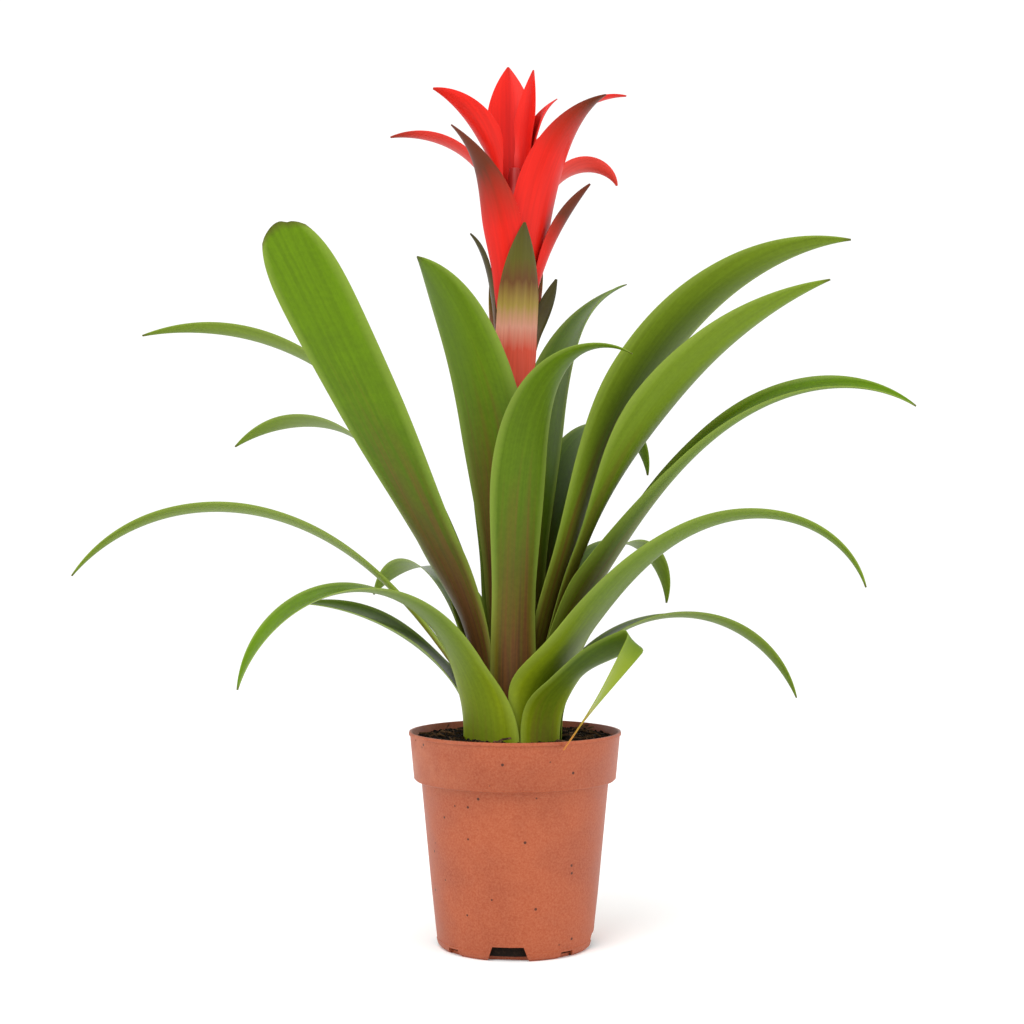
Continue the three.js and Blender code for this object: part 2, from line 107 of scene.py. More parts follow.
# %% [markdown]
# The camera stands level in front of the plant, a little under a metre away, with a short telephoto
# lens. The plant is off the middle of the picture, so the lens is shifted and not tilted, which keeps
# the pot's sides as upright as they look in the photograph.

# %% Camera
PICTURE_WIDTH = 1024
FOCAL_PIXELS = 1600
SENSOR_WIDTH = 36
EYE_HEIGHT = 222
EYE_DISTANCE = 905
AXIS_PIXEL = (515, 550)     # where the plant's axis at eye height falls in the picture

bpy.ops.object.camera_add(location=(0, -EYE_DISTANCE * MM, EYE_HEIGHT * MM), rotation=(math.pi / 2, 0, 0))
camera = bpy.context.object
camera.data.sensor_width = SENSOR_WIDTH
camera.data.lens = FOCAL_PIXELS / PICTURE_WIDTH * SENSOR_WIDTH
camera.data.shift_x = (PICTURE_WIDTH / 2 - AXIS_PIXEL[0]) / PICTURE_WIDTH
camera.data.shift_y = (AXIS_PIXEL[1] - PICTURE_WIDTH / 2) / PICTURE_WIDTH
bpy.context.scene.camera = camera
bpy.context.scene.view_settings.view_transform = "Standard"
print("lens", round(camera.data.lens, 2), "mm")

# %% [markdown]
# Finishes are built from nodes. These helpers keep a node tree readable: one adds a node with its
# sockets filled, one mixes two colours, one runs a value through a band of colours, and one spreads a
# value between two limits. Colours are written as they are read off a screen, from 0 to 255, and
# turned into light values here.

# %% Node helpers
MIX_COLOURS = (6, 7)        # the two colour sockets of a Mix node, and its colour output
MIX_RESULT = 2
NOISE_RANGE = (0.3, 0.7)    # most of a noise lies between these values


def paint(red, green, blue):
    light = []
    for value in (red, green, blue):
        share = value / 255
        light.append(share / 12.92 if share <= 0.04045 else ((share + 0.055) / 1.055) ** 2.4)
    return (*light, 1)


def new_finish(name):
    finish = bpy.data.materials.new(name)
    finish.use_nodes = True
    return finish


def add(finish, kind, sockets=None, **settings):
    node = finish.node_tree.nodes.new("ShaderNode" + kind)
    for setting, value in settings.items():
        setattr(node, setting, value)
    for socket, value in (sockets or {}).items():
        join(finish, value, node.inputs[socket])
    return node


def join(finish, value, socket):
    if isinstance(value, bpy.types.NodeSocket):
        finish.node_tree.links.new(value, socket)
    else:
        socket.default_value = value


def sums(finish, operation, *values):
    node = add(finish, "Math", dict(enumerate(values)), operation=operation)
    return node.outputs[0]


def mix(finish, share, first, second, blend_type="MIX"):
    node = add(finish, "Mix", {0: share}, data_type="RGBA", blend_type=blend_type)
    for socket, colour in zip(MIX_COLOURS, (first, second)):
        join(finish, colour, node.inputs[socket])
    return node.outputs[MIX_RESULT]


def band(finish, value, stops):
    """A colour for each value from 0 to 1. Stops are (place, colour) in order."""
    node = add(finish, "ValToRGB", {"Fac": value})
    elements = node.color_ramp.elements
    elements[0].position, elements[0].color = stops[0]
    elements[1].position, elements[1].color = stops[-1]
    for place, colour in stops[1:-1]:
        element = elements.new(place)
        element.color = colour
    return node.outputs["Color"]


def ramp(finish, value, start, end, low=0.0, high=1.0):
    """Goes from low to high while the value goes from start to end, and stays level outside."""
    sockets = {"Value": value, "From Min": start, "From Max": end, "To Min": low, "To Max": high}
    return add(finish, "MapRange", sockets).outputs["Result"]


def product(finish, first, second):
    return sums(finish, "MULTIPLY", first, second)


def painted(finish, name):
    """A value that was written on the mesh itself, point by point."""
    return add(finish, "Attribute", attribute_name=name).outputs["Fac"]


def speckle(finish, vector, scale, detail=2, roughness=0.5):
    """Noise around 0.5. The scale counts its waves to a metre."""
    sockets = {"Vector": vector, "Scale": scale, "Detail": detail, "Roughness": roughness}
    return add(finish, "TexNoise", sockets).outputs["Fac"]


def streaked(finish, strength, colour, noise, dark, light):
    """Darkens a colour where the noise is low and lightens it where it is high."""
    tone = ramp(finish, noise, *NOISE_RANGE, dark, light)
    return mix(finish, strength, colour, tone, "MULTIPLY")


def shade(finish, **values):
    """Sets or joins sockets of the shader. Words in a socket's name are joined by underscores."""
    shader = finish.node_tree.nodes["Principled BSDF"]
    for socket, value in values.items():
        join(finish, value, shader.inputs[socket.replace("_", " ")])


def bumps(finish, height, strength, distance):
    sockets = {"Height": height, "Strength": strength, "Distance": distance}
    return add(finish, "Bump", sockets).outputs[0]


# %% [markdown]
# The stage is a pale floor with soft light. A large plane and a white world would be enough for a
# shadow under the foot, and three soft lamps give the leaves their sheen: one above and in front,
# and a wider one from each side.

# %% Stage
FLOOR_SIZE = 12
FLOOR_WHITE = 0.98
WORLD_LIGHT = 1.1
PLANT_MIDDLE = (0, 0, 0.25)

# Name, place and size in metres, and power in watts
LAMPS = [
    ("lamp_above", (-0.5, -1.0, 1.7), 1.0, 18),
    ("lamp_left", (-1.5, -0.9, 0.6), 1.6, 6),
    ("lamp_right", (1.5, -0.9, 0.4), 1.6, 11),
]

floor_finish = new_finish("pale_floor")
shade(floor_finish, Base_Color=(FLOOR_WHITE, FLOOR_WHITE, FLOOR_WHITE, 1), Roughness=0.9)
pick_nothing()
bpy.ops.mesh.primitive_plane_add(size=FLOOR_SIZE)
floor = bpy.context.object
floor.name = "floor"
floor.data.materials.append(floor_finish)

world = bpy.data.worlds.new("white_room")
bpy.context.scene.world = world
world.use_nodes = True
sky = world.node_tree.nodes["Background"]
sky.inputs["Color"].default_value = (1, 1, 1, 1)
sky.inputs["Strength"].default_value = WORLD_LIGHT

for name, place, size, power in LAMPS:
    pick_nothing()
    bpy.ops.object.light_add(type="AREA", location=place)
    lamp = bpy.context.object
    lamp.name = name
    lamp.data.shape = "DISK"
    lamp.data.size = size
    lamp.data.energy = power
    aim = Vector(PLANT_MIDDLE) - Vector(place)
    lamp.rotation_euler = aim.to_track_quat("-Z", "Y").to_euler()
print("lamps:", len(LAMPS))

# %% [markdown]
# The pot is moulded in one shot of coloured plastic, with a fine grain. Up close the colour is not
# even: it is mottled, rubbed pale in places and marked with a few specks of peat. All of that is one
# material, so that it runs over collar, ledge and body without a seam.

# %% Pot plastic
TERRACOTTA = paint(154, 72, 38)
TERRACOTTA_DEEP = paint(138, 60, 30)
TERRACOTTA_RUBBED = paint(176, 108, 76)
PEAT_SPECK = paint(70, 34, 20)
CLOUD_SCALE = 28
RUB_SCALE = 75
POT_GRAIN_SCALE = 900
POT_GRAIN = 0.35                # how much of the colour the grain takes over
RUB_HEIGHTS = (0.088, 0.096)    # rubbing sets in between these heights, in metres
RUB_LEFT = (-0.0194, -0.075)    # and grows from the first place to the second, to the left
RUB_MOST = 0.75
SPECK_CELLS = 160               # cells to a metre
SPECK_EDGE = (0.1, 0.15)        # where a speck ends, as a share of its cell
SPECK_CHOICE = (0.76, 0.78)     # cells with a random value above these hold a speck
POT_ROUGHNESS = (0.42, 0.56)


def pot_plastic():
    finish = new_finish("terracotta_plastic")
    place = add(finish, "TexCoord").outputs["Object"]
    cloud = speckle(finish, place, CLOUD_SCALE, detail=4, roughness=0.6)
    grain = speckle(finish, place, POT_GRAIN_SCALE, detail=3, roughness=0.7)
    colour = mix(finish, ramp(finish, cloud, 0.35, 0.6), TERRACOTTA_DEEP, TERRACOTTA)
    grained = mix(finish, ramp(finish, grain, 0.35, 0.65), TERRACOTTA_DEEP, TERRACOTTA_RUBBED)
    colour = mix(finish, POT_GRAIN, colour, grained)
    # rubbed patches, mostly on the collar's left
    spot = add(finish, "SeparateXYZ", {0: place}).outputs
    rub = ramp(finish, speckle(finish, place, RUB_SCALE, detail=5, roughness=0.75), 0.42, 0.62)
    rub = product(finish, rub, ramp(finish, spot["X"], *RUB_LEFT))
    rub = product(finish, rub, ramp(finish, spot["Z"], *RUB_HEIGHTS, 0.0, RUB_MOST))
    colour = mix(finish, rub, colour, TERRACOTTA_RUBBED)
    # specks of peat, in a few of the cells
    cells = add(finish, "TexVoronoi", {"Vector": place, "Scale": SPECK_CELLS, "Randomness": 1.0}).outputs
    near = ramp(finish, cells["Distance"], *SPECK_EDGE, 1.0, 0.0)
    random_value = add(finish, "SeparateColor", {0: cells["Color"]}).outputs[0]
    speck = product(finish, near, ramp(finish, random_value, *SPECK_CHOICE))
    colour = mix(finish, speck, colour, PEAT_SPECK)
    roughness = ramp(finish, cloud, *NOISE_RANGE, *POT_ROUGHNESS)
    shade(finish, Base_Color=colour, Roughness=roughness, Specular_IOR_Level=0.3,
          Normal=bumps(finish, grain, strength=0.25, distance=0.0002))
    return finish


plastic = pot_plastic()

# %% [markdown]
# The pot could be turned from a drawn profile. Here it grows the way a potter thinks: a disc for the
# floor, then one ring after another, each pulled up from the last and widened or narrowed. The disc
# stays selected all the way, up the outside, over the lip and down the inside, where it becomes the
# inner floor, and that closes the shell.

# %% Pot sizes
RIM_RADIUS = 60
POT_HEIGHT = 120
COLLAR_HEIGHT = 27
COLLAR_FOOT_RADIUS = 57
BODY_TOP_RADIUS = 53
FOOT_RADIUS = 44
FOOT_EDGE = 2
FOOT_BAND = 4.6
FOOT_BAND_STEP = 0.3
WALL = 1.8
LIP_HEIGHT = 2
LIP_STEP = 0.7
POT_SIDES = 160
ledge = POT_HEIGHT - COLLAR_HEIGHT


def body_radius(height):
    return FOOT_RADIUS + (BODY_TOP_RADIUS - FOOT_RADIUS) * height / ledge


# %% Ring by ring
def turned_piece(name, rings, sides):
    """Starts with a disc and pulls it through the rings, (radius, height) each, to a closed piece."""
    radius, height = rings[0]
    pick_nothing()
    bpy.ops.mesh.primitive_circle_add(vertices=sides, radius=radius * MM, fill_type="NGON",
                                      location=(0, 0, height * MM))
    piece = bpy.context.object
    piece.name = name
    settle_mesh()
    switch("EDIT")
    bpy.ops.mesh.select_mode(type="FACE")
    bpy.ops.mesh.select_all(action="SELECT")
    for next_radius, next_height in rings[1:]:
        lift = (0, 0, (next_height - height) * MM)
        bpy.ops.mesh.extrude_region_move(TRANSFORM_OT_translate={"value": lift})
        share = next_radius / radius
        bpy.ops.transform.resize(value=(share, share, 1), center_override=(0, 0, 0))
        radius, height = next_radius, next_height
    bpy.ops.mesh.select_all(action="SELECT")
    bpy.ops.mesh.normals_make_consistent(inside=False)
    switch("OBJECT")
    return piece


pot_rings = [
    # the foot, with a small bevel, and the thin line above it
    (FOOT_RADIUS - FOOT_EDGE, 0),
    (FOOT_RADIUS - 0.3, FOOT_EDGE - 0.4),
    (FOOT_RADIUS, FOOT_EDGE + 0.3),
    (body_radius(FOOT_BAND), FOOT_BAND),
    (body_radius(FOOT_BAND) - FOOT_BAND_STEP, FOOT_BAND + 0.25),
    # the body, up to the hollow under the ledge
    (body_radius(ledge / 3), ledge / 3),
    (body_radius(ledge * 2 / 3), ledge * 2 / 3),
    (body_radius(ledge) - 0.2, ledge - 1.6),
    (body_radius(ledge) + 0.3, ledge - 0.5),
    # the collar, with a soft lower edge
    (COLLAR_FOOT_RADIUS - 0.8, ledge),
    (COLLAR_FOOT_RADIUS, ledge + 0.8),
    (RIM_RADIUS - LIP_STEP - 0.1, POT_HEIGHT - LIP_HEIGHT - 0.6),
    # the lip, rounded over to the inside
    (RIM_RADIUS - LIP_STEP, POT_HEIGHT - LIP_HEIGHT),
    (RIM_RADIUS - 0.1, POT_HEIGHT - LIP_HEIGHT + 0.2),
    (RIM_RADIUS, POT_HEIGHT - LIP_HEIGHT / 2),
    (RIM_RADIUS - 0.3, POT_HEIGHT - 0.1),
    (RIM_RADIUS - 0.8, POT_HEIGHT),
    (RIM_RADIUS - WALL + 0.3, POT_HEIGHT - 0.1),
    (RIM_RADIUS - WALL, POT_HEIGHT - 0.6),
    # the inner wall, its step behind the ledge, and the inner floor
    (COLLAR_FOOT_RADIUS - WALL, ledge + WALL),
    (body_radius(ledge) - WALL, ledge + WALL - 0.2),
    (FOOT_RADIUS - WALL, WALL + 0.6),
    (FOOT_RADIUS - WALL - 1, WALL),
]
pot = turned_piece("nursery_pot", pot_rings, POT_SIDES)
print("pot rings:", len(pot_rings), "faces:", len(pot.data.polygons))

# %% [markdown]
# Water drains through notches cut in the foot. There are four large ones and four small ones, taking
# turns round the pot. Each is cut by a wedge that is wider at the floor, as a mould needs. The wedge
# is a cube whose top is pinched in edit mode, and a Boolean modifier takes it out of the pot.

# %% Notches in the foot
NOTCH_PAIRS = 4
FRONT = 270             # headings are in degrees, and each wedge is made at the front
NOTCH_HEADING = 265
LARGE_NOTCH = {"bottom": 23, "top": 17, "height": 8, "depth": 6}
SMALL_NOTCH = {"bottom": 10, "top": 8, "height": 3.5, "depth": 3}
NOTCH_OVERRUN = 6
NOTCH_START = 0.5       # the wedge begins a little under the floor, so that the cut is clean


def cut_notch(piece, notch, heading):
    reach = notch["depth"] + NOTCH_OVERRUN
    tall = notch["height"] + NOTCH_START
    middle = FOOT_RADIUS - notch["depth"] + reach / 2
    pick_nothing()
    bpy.ops.mesh.primitive_cube_add(size=1, location=(0, 0, 0))
    wedge = bpy.context.object
    wedge.scale = (notch["bottom"] * MM, reach * MM, tall * MM)
    wedge.location = (0, -middle * MM, (notch["height"] - tall / 2) * MM)
    settle_mesh()
    switch("EDIT")
    bpy.ops.mesh.select_mode(type="VERT")
    bpy.ops.mesh.select_all(action="DESELECT")
    switch("OBJECT")
    for corner in wedge.data.vertices:
        corner.select = corner.co.z > 0
    switch("EDIT")
    share = notch["top"] / notch["bottom"]
    bpy.ops.transform.resize(value=(share, 1, 1), center_override=(0, 0, 0))
    switch("OBJECT")
    wedge.rotation_euler = (0, 0, math.radians(heading - FRONT))
    settle_mesh()
    apply_modifier(piece, "BOOLEAN", operation="DIFFERENCE", object=wedge, solver="EXACT")
    bpy.data.objects.remove(wedge)


for pair in range(NOTCH_PAIRS):
    heading = NOTCH_HEADING + pair * 360 / NOTCH_PAIRS
    cut_notch(pot, LARGE_NOTCH, heading)
    cut_notch(pot, SMALL_NOTCH, heading + 180 / NOTCH_PAIRS)

smooth(pot, 40)
hand_over(pot, plastic, "pot", "pot")
print("pot faces after the notches:", len(pot.data.polygons))

# %% [markdown]
# Peat is dark, matt and full of fibre. Its colour changes from crumb to crumb, so the material uses
# small cells with a fine noise over them, and a strong bump.

# %% Peat finish
PEAT_CELLS = 700
FLUFF_SCALE = 1600
MID_BROWN = 0.3                 # the share of light brown in the middle brown


def peat(name, dark, light):
    finish = new_finish(name)
    place = add(finish, "TexCoord").outputs["Object"]
    cells = add(finish, "TexVoronoi", {"Vector": place, "Scale": PEAT_CELLS}).outputs["Color"]
    random_value = add(finish, "SeparateColor", {0: cells}).outputs[0]
    fluff = speckle(finish, place, FLUFF_SCALE, detail=4, roughness=0.7)
    middle = tuple((1 - MID_BROWN) * a + MID_BROWN * b for a, b in zip(dark, light))
    colour = band(finish, random_value, [(0.0, dark), (0.75, middle), (1.0, light)])
    colour = mix(finish, ramp(finish, fluff, 0.4, 0.7, 0.0, 0.5), colour, light)
    shade(finish, Base_Color=colour, Roughness=0.95, Specular_IOR_Level=0.15,
          Normal=bumps(finish, fluff, strength=0.9, distance=0.0006))
    return finish


peat_finish = peat("damp_peat", paint(14, 9, 6), paint(38, 25, 16))
fibre_finish = peat("dry_fibre", paint(54, 38, 25), paint(112, 84, 56))

# %% [markdown]
# The peat fills the pot and holds the plant in a round hole. Its solid is a plain plug, so the piece
# starts as rings too. The top is split into fine rings and roughened by a Displace modifier, which
# only works on the points of the top.

# %% Peat plug
CLEARANCE = 0.3
SOIL_TOP = 116
SOIL_HOLE_DEPTH = 15
SOIL_SIDES = 200
SOIL_RINGS = 26
SOIL_RELIEF = 1.5
CLOD_SIZE = 3.2
STILL_EDGE = 0.5        # the clods stay this far from the pot and from the plant
PLANT_RADIUS = 29
BLADE_THICKNESS = 0.7
gap = WALL + CLEARANCE
hole_radius = PLANT_RADIUS + BLADE_THICKNESS / 2 + CLEARANCE
collar_share = (SOIL_TOP - ledge) / COLLAR_HEIGHT
soil_radius = COLLAR_FOOT_RADIUS + (RIM_RADIUS - COLLAR_FOOT_RADIUS) * collar_share - gap - LIP_STEP

soil_rings = [
    (FOOT_RADIUS - gap - 1, gap + 0.2),
    (FOOT_RADIUS - gap, gap + 1),
    (body_radius(ledge) - gap, ledge),
    (body_radius(ledge) - gap, ledge + gap),
    (COLLAR_FOOT_RADIUS - gap - LIP_STEP, ledge + gap),
]
for ring in range(SOIL_RINGS + 1):
    soil_rings.append((soil_radius + (hole_radius - soil_radius) * ring / SOIL_RINGS, SOIL_TOP))
soil_rings.append((hole_radius, SOIL_TOP - SOIL_HOLE_DEPTH))
soil = turned_piece("peat", soil_rings, SOIL_SIDES)

top = soil.vertex_groups.new(name="top")
for point in soil.data.vertices:
    radius = math.hypot(point.co.x, point.co.y) / MM
    on_top = abs(point.co.z / MM - SOIL_TOP) < 0.01
    if on_top and hole_radius + STILL_EDGE < radius < soil_radius - STILL_EDGE:
        top.add([point.index], 1, "REPLACE")

clods = bpy.data.textures.new("clods", "CLOUDS")
clods.noise_scale = CLOD_SIZE * MM
clods.noise_depth = 3
apply_modifier(soil, "DISPLACE", texture=clods, texture_coords="LOCAL", direction="Z",
               strength=2 * SOIL_RELIEF * MM, mid_level=0.5, vertex_group="top")
smooth(soil, 35)
hand_over(soil, peat_finish, "soil", "soil")
print("peat faces:", len(soil.data.polygons))

# %% [markdown]
# Loose crumbs and fibres lie on the peat. Crumbs are small balls with a random squash. A fibre is a
# thin, bent three-sided strand. Each kind is modelled once and copied, and the copies are joined.

# %% Crumbs and fibres
CRUMBS = 1000
FIBRES = 120
CRUMB_SIZE = (0.4, 1.5)
FIBRE_LENGTH = (4, 10)
FIBRE_THICKNESS = 0.17
CRUMB_MARGIN = 0.6      # from the pot and from the plant
FIBRE_MARGIN = 4.5
LITTER_LIFT = 0.3
ANY_TURN = (0, 6.3)     # a full turn, in radians
FIBRE_TILT = (-0.35, 0.1)
FIBRE_BULK = (0.7, 1.4)
FIBRE_RISE = 0.3
CRUMB_SQUASH = ((0.6, 1), (0.5, 0.9))       # to the side and in height
# A strand of length 1: how far it bows aside and up, and how flat it is
STRAND_BOW = 1.5
STRAND_LIFT = 0.3
STRAND_FLATNESS = 0.25


def spot_on_peat(margin):
    radius = chance.uniform(hole_radius + margin, soil_radius - margin)
    turn = chance.uniform(0, 2 * math.pi)
    return Vector((radius * math.cos(turn), radius * math.sin(turn), SOIL_TOP + LITTER_LIFT)) * MM


def scatter(pattern, name, count, placing):
    """Copies a pattern piece, each copy with its own mesh, places the copies and joins them."""
    copies = []
    for _ in range(count):
        copy = bpy.data.objects.new(name, pattern.data.copy())
        bpy.context.collection.objects.link(copy)
        copy.data.transform(placing())
        copies.append(copy)
    bpy.data.objects.remove(pattern)
    pick_nothing()
    for copy in copies:
        copy.select_set(True)
    bpy.context.view_layer.objects.active = copies[0]
    bpy.ops.object.join()
    joined = bpy.context.object
    joined.name = name
    return joined


def crumb_place():
    size = chance.uniform(*CRUMB_SIZE) * MM
    turn = Matrix.Rotation(chance.uniform(*ANY_TURN), 4, Vector((chance.random(), chance.random(), 1)))
    aside, flat = (size * chance.uniform(*share) for share in CRUMB_SQUASH)
    squash = Matrix.Diagonal((size, aside, flat, 1))
    return Matrix.Translation(spot_on_peat(CRUMB_MARGIN)) @ turn @ squash


def fibre_place():
    length = chance.uniform(*FIBRE_LENGTH) * MM
    turn = Matrix.Rotation(chance.uniform(*ANY_TURN), 4, "Z")
    tilt = Matrix.Rotation(chance.uniform(*FIBRE_TILT), 4, "Y")
    width = FIBRE_THICKNESS * chance.uniform(*FIBRE_BULK) * MM
    size = Matrix.Diagonal((length, width, length * FIBRE_RISE, 1))
    return Matrix.Translation(spot_on_peat(FIBRE_MARGIN)) @ turn @ tilt @ size


pick_nothing()
bpy.ops.mesh.primitive_ico_sphere_add(subdivisions=1, radius=1)
crumbs = scatter(bpy.context.object, "peat_crumbs", CRUMBS, crumb_place)
hand_over(crumbs, peat_finish, "soil")

pick_nothing()
bpy.ops.mesh.primitive_cylinder_add(vertices=3, radius=1, depth=1, location=(0, 0, 0),
                                    rotation=(0, math.pi / 2, 0))
settle_mesh()
strand = bpy.context.object
switch("EDIT")
bpy.ops.mesh.select_all(action="SELECT")
bpy.ops.mesh.subdivide(number_cuts=1)
switch("OBJECT")
for point in strand.data.vertices:
    along = point.co.x + 0.5
    bend = math.sin(math.pi * along)
    point.co = (along, point.co.y + STRAND_BOW * bend, point.co.z * STRAND_FLATNESS + STRAND_LIFT * bend)
fibres = scatter(strand, "peat_fibres", FIBRES, fibre_place)
hand_over(fibres, fibre_finish, "soil")
print("crumbs:", CRUMBS, "fibres:", FIBRES)

# %% [markdown]
# The flower stalk is as thick as a little finger, and hidden over most of its length. It is green below
# and red in the flower head, and swells a little at its nodes.

# %% Stalk finish
STALK_GREEN = paint(120, 140, 52)
STALK_RED = paint(196, 40, 34)
STALK_SHADE = paint(70, 84, 30)
STALK_REDDENS = (0.275, 0.36)   # between these heights, in metres
STALK_STREAKS = 900


def stalk_skin():
    finish = new_finish("stalk_skin")
    place = add(finish, "TexCoord").outputs["Object"]
    height = add(finish, "SeparateXYZ", {0: place}).outputs["Z"]
    drawn_out = add(finish, "Mapping", {"Vector": place, "Scale": (1, 1, 0.04)}).outputs[0]
    lines = speckle(finish, drawn_out, STALK_STREAKS)
    colour = mix(finish, ramp(finish, height, *STALK_REDDENS), STALK_GREEN, STALK_RED)
    colour = mix(finish, product(finish, lines, 0.35), colour, STALK_SHADE, "MULTIPLY")
    shade(finish, Base_Color=colour, Roughness=0.45,
          Normal=bumps(finish, lines, strength=0.2, distance=0.0003))
    return finish


# %% Flower stalk
STEM_RADIUS = 6
STEM_TIP_RADIUS = 4
STEM_TOP = 438
STEM_TAPER_LENGTH = 60
STEM_SIDES = 48
STALK_STEPS = 76
STALK_NODE_PITCH = 22
STALK_SLIMNESS = 0.92
STALK_SWELL = 0.07
plant_foot = SOIL_TOP - SOIL_HOLE_DEPTH + CLEARANCE


def stem_radius(height):
    taper = min(max((height - STEM_TOP + STEM_TAPER_LENGTH) / STEM_TAPER_LENGTH, 0), 1)
    return STEM_RADIUS + (STEM_TIP_RADIUS - STEM_RADIUS) * taper


stalk_rings = [(STEM_RADIUS - 0.6, plant_foot)]
for step in range(1, STALK_STEPS):
    height = plant_foot + (STEM_TOP - plant_foot) * step / STALK_STEPS
    swell = STALK_SLIMNESS + STALK_SWELL * math.cos(2 * math.pi * height / STALK_NODE_PITCH)
    stalk_rings.append((stem_radius(height) * swell, height))
stalk_rings.append((STEM_TIP_RADIUS * 0.8, STEM_TOP - 0.6))
stalk_rings.append((STEM_TIP_RADIUS * 0.4, STEM_TOP))
stalk = turned_piece("flower_stalk", stalk_rings, STEM_SIDES)
smooth(stalk, 50)
hand_over(stalk, stalk_skin(), "stem", "flower_stem")

# %% [markdown]
# A blade, leaf or bract, is one strap from its sheath to its tip. It could be drawn as a curve with a
# taper, or pushed into shape by hand. Here it starts as a flat grid, and each row of the grid is set
# on an arch with a few plain values, the same ones that shape its solid, so the two always agree.
#
# The values: clasp is where the sheath sits round the stalk, wrap how far it reaches round. Along the
# sheath the blade opens to its rise and turns to its heading, and then it arches over to its end
# angle. Angles are in degrees, a heading of 0 points right and 270 to the front.

# %% The arch of a blade
RIB_STEPS = 200
TIP_HALF_WIDTH = 0.6
NECK_SHARE = 0.45
TAPER_FROM = 0.3
TIGHT_SHARE_OF_SHEATH = 0.6
CREASE_RADIUS = 2.5
PLAIN_RED = {"tone": "red", "looks": (0.0, 0.0)}


def shape(name, **values):
    """The values of one blade. Without swing or roll it stays straight, and without looks it is red."""
    return {"name": name, "swing": 0, "roll": 0, **PLAIN_RED, **values}


def clamp(value, low=0.0, high=1.0):
    return min(max(value, low), high)


def lerp(first, second, share):
    return first + (second - first) * share


def ease(value, start, end):
    part = clamp((value - start) / (end - start))
    return part * part * (3 - 2 * part)


def share_beyond_sheath(blade, distance):
    return clamp((distance - blade["sheath"]) / (blade["length"] - blade["sheath"]))


def midrib(blade, foot):
    """The middle line of a blade: places, directions and the way across, step by step."""
    step = blade["length"] / RIB_STEPS
    place = foot["place"].copy()
    rib = []
    for k in range(RIB_STEPS + 1):
        distance = (k + 0.5) * step
        opening = ease(distance, foot["straight"], blade["sheath"])
        along = share_beyond_sheath(blade, distance)
        angle = lerp(foot["lean"], blade["rise"], opening)
        angle += (blade["end"] - blade["rise"]) * along ** blade["bend"]
        heading = lerp(blade["clasp"], blade["heading"], opening) + blade["swing"] * along * along
        side = Vector((-math.sin(math.radians(heading)), math.cos(math.radians(heading)), 0))
        a, h = math.radians(angle), math.radians(heading)
        forward = Vector((math.cos(a) * math.cos(h), math.cos(a) * math.sin(h), math.sin(a)))
        side = (side - forward * side.dot(forward)).normalized()
        side = Matrix.Rotation(math.radians(blade["roll"] * along), 3, forward) @ side
        rib.append((place.copy(), forward, side, k * step))
        place += forward * step
    return rib


def half_width(blade, distance, foot):
    opening = ease(distance, foot["straight"], blade["sheath"])
    along = share_beyond_sheath(blade, distance)
    clasping = math.radians(blade["wrap"]) * math.hypot(foot["place"].x, foot["place"].y)
    full = blade["width"] / 2 * lerp(blade.get("neck", 1), 1, ease(along, 0, NECK_SHARE))
    taper = clamp((along - TAPER_FROM) / (1 - TAPER_FROM)) ** blade["point"]
    return lerp(lerp(clasping, full, opening), blade.get("tip", TIP_HALF_WIDTH), taper)


# %% A blade's surface and its own marks
TIP_ZONE = 28           # the rows of the last 28 mm draw back together to round a blunt tip
NICK_DEPTH = 1.0
NICK_PLACE = 0.5
NICK_WIDTH = 0.16
LONG_RIPPLE = 19
SHORT_RIPPLE = 8.3
RIPPLE_SKEW = 0.8       # how far the ripple of one margin runs ahead of the other
EDGE_THINNING = 0.55


def tip_retreat(blade, across):
    """How far a blunt tip falls short at a place across the blade. A pointed one ends square."""
    if "tip" not in blade:
        return 0
    rounding = blade["tip"] * (1 - math.sqrt(1 - 0.98 * across * across))
    nick = NICK_DEPTH * math.exp(-((across - NICK_PLACE) / NICK_WIDTH) ** 2)
    return rounding + nick


def frame_at(rib, length, distance):
    """The midrib's place and directions at any distance along it."""
    step = clamp(distance / length) * RIB_STEPS
    k = min(int(step), RIB_STEPS - 1)
    (place, forward, side, _), (next_place, next_forward, next_side, _) = rib[k], rib[k + 1]
    part = step - k
    return (place.lerp(next_place, part), forward.lerp(next_forward, part).normalized(),
            side.lerp(next_side, part).normalized())


def lay_out(blade, foot, rows, columns, ripple):
    """Points across the blade, row by row. Near its foot it follows the round of the plant."""
    rib = midrib(blade, foot)
    crease = crease_of(blade, rib) if "fold" in blade else None
    cup = math.radians(blade["cup"])
    tight = blade["sheath"] * TIGHT_SHARE_OF_SHEATH
    length = blade["length"]
    phase = chance.uniform(0, 2 * math.pi)
    grid = []
    for i in range(rows + 1):
        row = []
        for j in range(columns + 1):
            across = j / columns * 2 - 1
            distance = length * i / rows
            distance -= tip_retreat(blade, across) * ease(distance, length - TIP_ZONE, length)
            place, forward, side = frame_at(rib, length, distance)
            inward = forward.cross(side)
            half = half_width(blade, distance, foot)
            clasping = 1 - ease(distance, tight, tight + foot["release"])
            radius = math.hypot(place.x, place.y)
            layered = Matrix.Rotation(across * half / radius, 3, "Z") @ place
            cupped = place + side * (half / cup * math.sin(across * cup))
            cupped += inward * (half / cup * (1 - math.cos(across * cup)))
            loose = share_beyond_sheath(blade, distance) * (1 - distance / length)
            wave = math.sin(distance / LONG_RIPPLE + phase + across * RIPPLE_SKEW)
            wave += 0.5 * math.sin(distance / SHORT_RIPPLE + 2 * phase)
            cupped += inward * (ripple * loose * wave * across * abs(across))
            point = cupped.lerp(layered, clasping)
            row.append(fold_over(point, crease) if crease else point)
        grid.append(row)
    return grid


